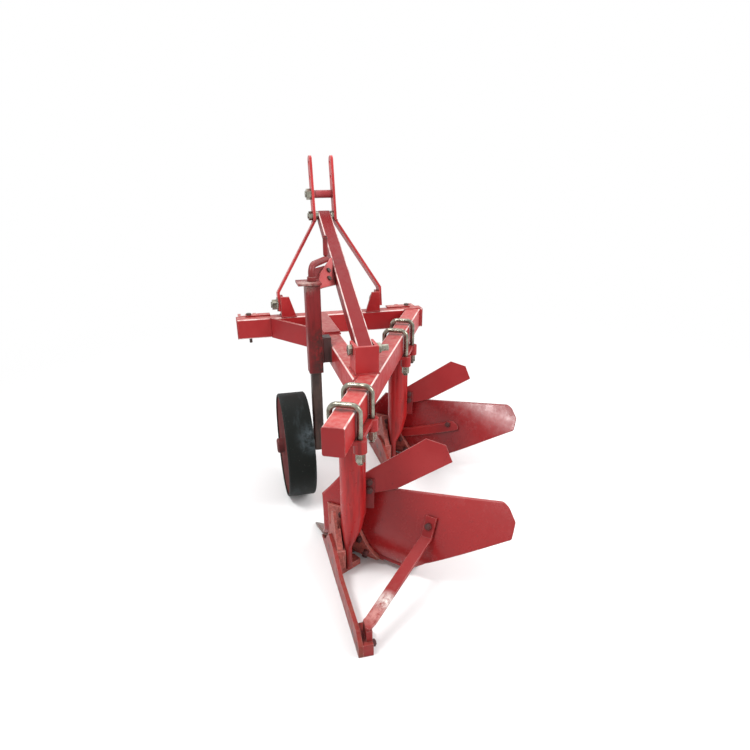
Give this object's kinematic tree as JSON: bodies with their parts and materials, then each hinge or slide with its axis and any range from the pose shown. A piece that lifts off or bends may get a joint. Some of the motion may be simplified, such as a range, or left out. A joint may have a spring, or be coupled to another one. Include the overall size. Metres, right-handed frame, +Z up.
{
  "type": "mouldboard plough",
  "caption": "Mounted mouldboard plough with a slanted beam, curved bodies on pipe legs, a screw-set depth wheel and a three-point mast.",
  "frame": {"origin": "on the ground under the middle of the plan outline", "axes": "+Y along the direction of travel, +X to the right where the furrow slice is thrown, +Z up"},
  "size_m": [0.999, 1.4529, 1.1649],
  "materials": {
    "red_paint": "glossy red paint",
    "dark_red_paint": "dull dark red paint",
    "zinc_steel": "zinc-plated steel",
    "black_tread": "matt black coat, scuffed",
    "dark_post": "dark brown coat",
    "worn_share": "red paint worn to bare steel along the edge",
    "frog_casting": "red paint over a rough casting",
    "bush_bronze": "plain bush metal",
    "bright_screw": "oiled steel"
  },
  "bodies": {
    "frame": {"beam_caps": "red_paint", "brace_socket": "red_paint", "column_bolts": "dark_post", "corner_brace": "red_paint", "corner_strap": "red_paint", "cross_beam": "red_paint", "front_body_bolts": "dark_post", "front_clamp_saddle": "red_paint", "front_frog": "frog_casting", "front_landside": "red_paint", "front_leg": "red_paint", "front_mouldboard": "red_paint", "front_mouldboard_stay": "red_paint", "front_share": "worn_share", "front_trash_board": "red_paint", "front_trash_bracket": "red_paint", "front_u_bolt_nuts": "zinc_steel", "front_u_bolts": "zinc_steel", "hitch_bolts": "dark_post", "hitch_bracket_left": "red_paint", "hitch_bracket_right": "red_paint", "main_beam": "red_paint", "mast_bar_left": "red_paint", "mast_bar_right": "red_paint", "mast_bolts": "zinc_steel", "mast_brace": "red_paint", "mast_lug_left": "red_paint", "mast_lug_right": "red_paint", "mast_spacer": "red_paint", "mast_strut_left": "red_paint", "mast_strut_right": "red_paint", "rear_body_bolts": "dark_post", "rear_clamp_saddle": "red_paint", "rear_frog": "frog_casting", "rear_heel": "red_paint", "rear_landside": "red_paint", "rear_leg": "red_paint", "rear_mouldboard": "red_paint", "rear_mouldboard_stay": "red_paint", "rear_share": "worn_share", "rear_trash_board": "red_paint", "rear_trash_bracket": "red_paint", "rear_u_bolt_nuts": "zinc_steel", "rear_u_bolts": "zinc_steel", "sleeve_bracket": "dark_post", "spine_beam": "red_paint", "tie_plate": "red_paint", "wheel_sleeve": "red_paint"},
    "depth_post": {"depth_post": "dark_post", "screw_nut": "bright_screw", "stub_axle": "dark_post", "axle_fasteners": "zinc_steel"},
    "wheel": {"wheel_hub": "dark_red_paint", "hub_bushes": "bush_bronze", "hub_cap": "dark_red_paint", "wheel_discs": "dark_red_paint", "wheel_tread": "black_tread"},
    "crank": {"lead_screw": "bright_screw", "crank_arm": "red_paint"},
    "grip": {"crank_grip": "red_paint"}
  },
  "joints": [
    {"name": "crank_turn", "type": "hinge", "parent": "frame", "child": "crank", "pos_m": [-0.25053, 0.1445, 0.79], "axis": [0, 0, 1], "range_deg": [-10800, 480]},
    {"name": "depth_slide", "type": "slide", "parent": "frame", "child": "depth_post", "axis": [0, 0, 1], "range_m": [-0.0081, 0.1801]},
    {"name": "wheel_spin", "type": "hinge", "parent": "depth_post", "child": "wheel", "pos_m": [-0.33903, 0.1445, 0.199], "axis": [1, 0, 0], "continuous": true},
    {"name": "grip_spin", "type": "hinge", "parent": "crank", "child": "grip", "pos_m": [-0.18164, 0.25474, 0.88], "axis": [0, 0, 1], "continuous": true}
  ],
  "couplings": [
    {"joint": "depth_slide", "follows": "crank_turn", "m_per_rad": -0.00095493}
  ]
}
